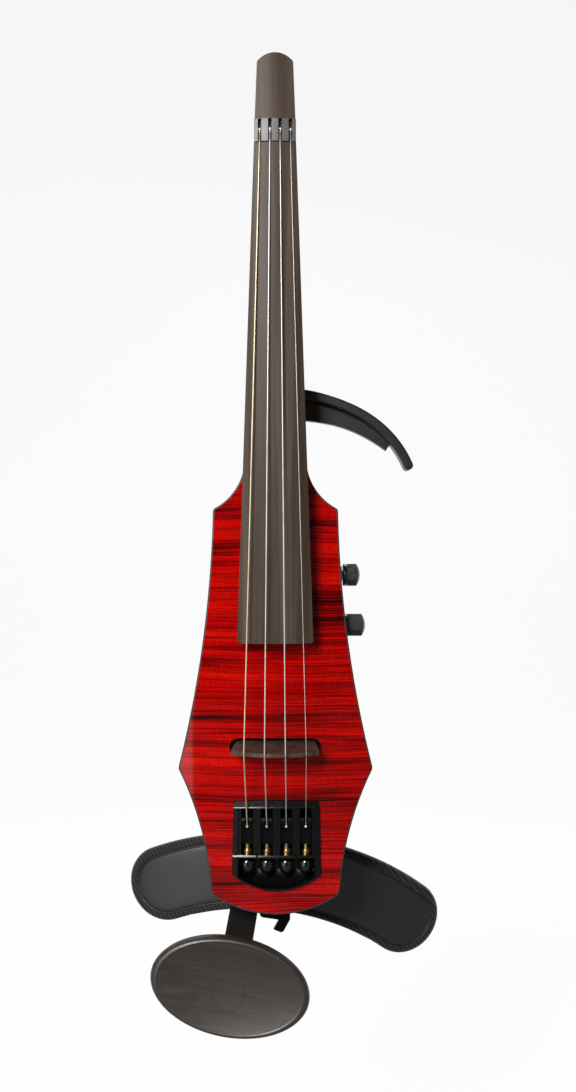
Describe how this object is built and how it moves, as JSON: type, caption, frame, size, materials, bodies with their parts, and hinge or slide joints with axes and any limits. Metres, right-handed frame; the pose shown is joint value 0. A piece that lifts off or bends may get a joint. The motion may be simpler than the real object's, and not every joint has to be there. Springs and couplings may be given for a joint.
{
  "type": "electric violin",
  "caption": "Headless solid-body electric violin with tail tuners, side arm, chin rest and swivelling shoulder rest.",
  "frame": {"origin": "on the flat back of the body, on its centre line, behind the bridge", "axes": "+Z along the strings towards the head, -Y out of the front towards the strings, +X to the treble side"},
  "size_m": [0.1943, 0.1157, 0.5355],
  "materials": {
    "top_wood": "flamed maple under clear red lacquer",
    "body_wood": "dark red stained maple, satin",
    "neck_wood": "oiled maple",
    "ebony": "dark ebony, satin",
    "binding": "black edge line",
    "nut_metal": "grey satin",
    "string_steel": "wound and polished steel",
    "string_gold": "warm wound metal",
    "black_metal": "satin black",
    "knob_black": "gloss black",
    "control_black": "satin black, knurled",
    "brass": "bright brass",
    "steel": "plain steel",
    "arm_plastic": "moulded black, fine texture",
    "bar_metal": "brushed black",
    "board_green": "circuit board",
    "lead": "insulated lead",
    "plate_plastic": "stiff plastic plate",
    "pad_foam": "closed-cell foam with a textile face",
    "liner_fabric": "smooth black cover"
  },
  "bodies": {
    "root": {"body_core": "body_wood", "top_plate": "top_wood", "edge_binding": "binding", "neck": "neck_wood", "fingerboard": "ebony", "nut": "nut_metal", "head_cap": "ebony", "bridge": "ebony", "bridge_pickup": "lead", "tuner_housing": "black_metal", "control_pots": "steel", "pot_nuts": "steel", "circuit_board": "board_green", "output_jack": "black_metal", "jack_nut": "black_metal", "control_cover": "plate_plastic", "cover_screws": "black_metal", "wiring": "lead", "side_arm": "arm_plastic", "arm_screws": "steel", "tail_bracket": "black_metal", "bracket_screws": "steel", "rest_stud": "steel", "chin_pivot_screw": "steel", "string_g": "string_gold", "string_d": "string_steel", "string_a": "string_steel", "string_e": "string_steel"},
    "chin_rest": {"chin_bar": "bar_metal", "chin_plate": "ebony", "chin_plug": "ebony", "chin_plate_screw": "steel"},
    "rest_swivel": {"rest_carrier": "black_metal", "tilt_pin": "steel"},
    "shoulder_rest": {"rest_plate": "plate_plastic", "rest_liner": "liner_fabric", "shoulder_pad": "pad_foam"},
    "clamp_lever": {"clamp_lever": "black_metal"},
    "volume_control": {"volume_shaft": "steel", "volume_knob": "control_black"},
    "tone_control": {"tone_shaft": "steel", "tone_knob": "control_black"},
    "tuner_carriage_g": {"tuner_carriage_g": "black_metal"},
    "tuner_knob_g": {"tuner_knob_g": "knob_black", "tuner_screw_g": "brass"},
    "tuner_carriage_d": {"tuner_carriage_d": "black_metal"},
    "tuner_knob_d": {"tuner_knob_d": "knob_black", "tuner_screw_d": "brass"},
    "tuner_carriage_a": {"tuner_carriage_a": "black_metal"},
    "tuner_knob_a": {"tuner_knob_a": "knob_black", "tuner_screw_a": "brass"},
    "tuner_carriage_e": {"tuner_carriage_e": "black_metal"},
    "tuner_knob_e": {"tuner_knob_e": "knob_black", "tuner_screw_e": "brass"}
  },
  "joints": [
    {"name": "tuner_turn_g", "type": "hinge", "parent": "root", "child": "tuner_knob_g", "pos_m": [-0.01575, -0.025, -0.06], "axis": [0, 0, 1], "range_deg": [-2160, 2160]},
    {"name": "tuner_slide_g", "type": "slide", "parent": "root", "child": "tuner_carriage_g", "axis": [0, 0, 1], "range_m": [-0.003, 0.003], "deforming": ["string_g"]},
    {"name": "tuner_turn_d", "type": "hinge", "parent": "root", "child": "tuner_knob_d", "pos_m": [-0.00485, -0.025, -0.06], "axis": [0, 0, 1], "range_deg": [-2160, 2160]},
    {"name": "tuner_slide_d", "type": "slide", "parent": "root", "child": "tuner_carriage_d", "axis": [0, 0, 1], "range_m": [-0.003, 0.003], "deforming": ["string_d"]},
    {"name": "tuner_turn_a", "type": "hinge", "parent": "root", "child": "tuner_knob_a", "pos_m": [0.00605, -0.025, -0.06], "axis": [0, 0, 1], "range_deg": [-2160, 2160]},
    {"name": "tuner_slide_a", "type": "slide", "parent": "root", "child": "tuner_carriage_a", "axis": [0, 0, 1], "range_m": [-0.003, 0.003], "deforming": ["string_a"]},
    {"name": "tuner_turn_e", "type": "hinge", "parent": "root", "child": "tuner_knob_e", "pos_m": [0.01695, -0.025, -0.06], "axis": [0, 0, 1], "range_deg": [-2160, 2160]},
    {"name": "tuner_slide_e", "type": "slide", "parent": "root", "child": "tuner_carriage_e", "axis": [0, 0, 1], "range_m": [-0.003, 0.003], "deforming": ["string_e"]},
    {"name": "volume_turn", "type": "hinge", "parent": "root", "child": "volume_control", "pos_m": [0.036, -0.0145, 0.096], "axis": [1, 0, 0], "range_deg": [-150, 150]},
    {"name": "tone_turn", "type": "hinge", "parent": "root", "child": "tone_control", "pos_m": [0.036, -0.0145, 0.0674], "axis": [1, 0, 0], "range_deg": [-150, 150]},
    {"name": "chin_swing", "type": "hinge", "parent": "root", "child": "chin_rest", "pos_m": [-0.0157, 0.002, -0.085], "axis": [0, 1, 0], "range_deg": [-30, 30]},
    {"name": "rest_swing", "type": "hinge", "parent": "root", "child": "rest_swivel", "pos_m": [0.002, 0.009, -0.082], "axis": [0, 1, 0], "range_deg": [-15, 15]},
    {"name": "rest_tilt", "type": "hinge", "parent": "rest_swivel", "child": "shoulder_rest", "pos_m": [0.00437, 0.021, -0.06517], "axis": [0.9903, 0, -0.1392], "range_deg": [-8, 20]},
    {"name": "clamp_turn", "type": "hinge", "parent": "root", "child": "clamp_lever", "pos_m": [0.002, 0.015, -0.082], "axis": [0, 1, 0], "range_deg": [-90, 0]}
  ],
  "couplings": [
    {"joint": "tuner_slide_g", "follows": "tuner_turn_g", "m_per_rad": -0.000079577},
    {"joint": "tuner_slide_d", "follows": "tuner_turn_d", "m_per_rad": -0.000079577},
    {"joint": "tuner_slide_a", "follows": "tuner_turn_a", "m_per_rad": -0.000079577},
    {"joint": "tuner_slide_e", "follows": "tuner_turn_e", "m_per_rad": -0.000079577}
  ]
}
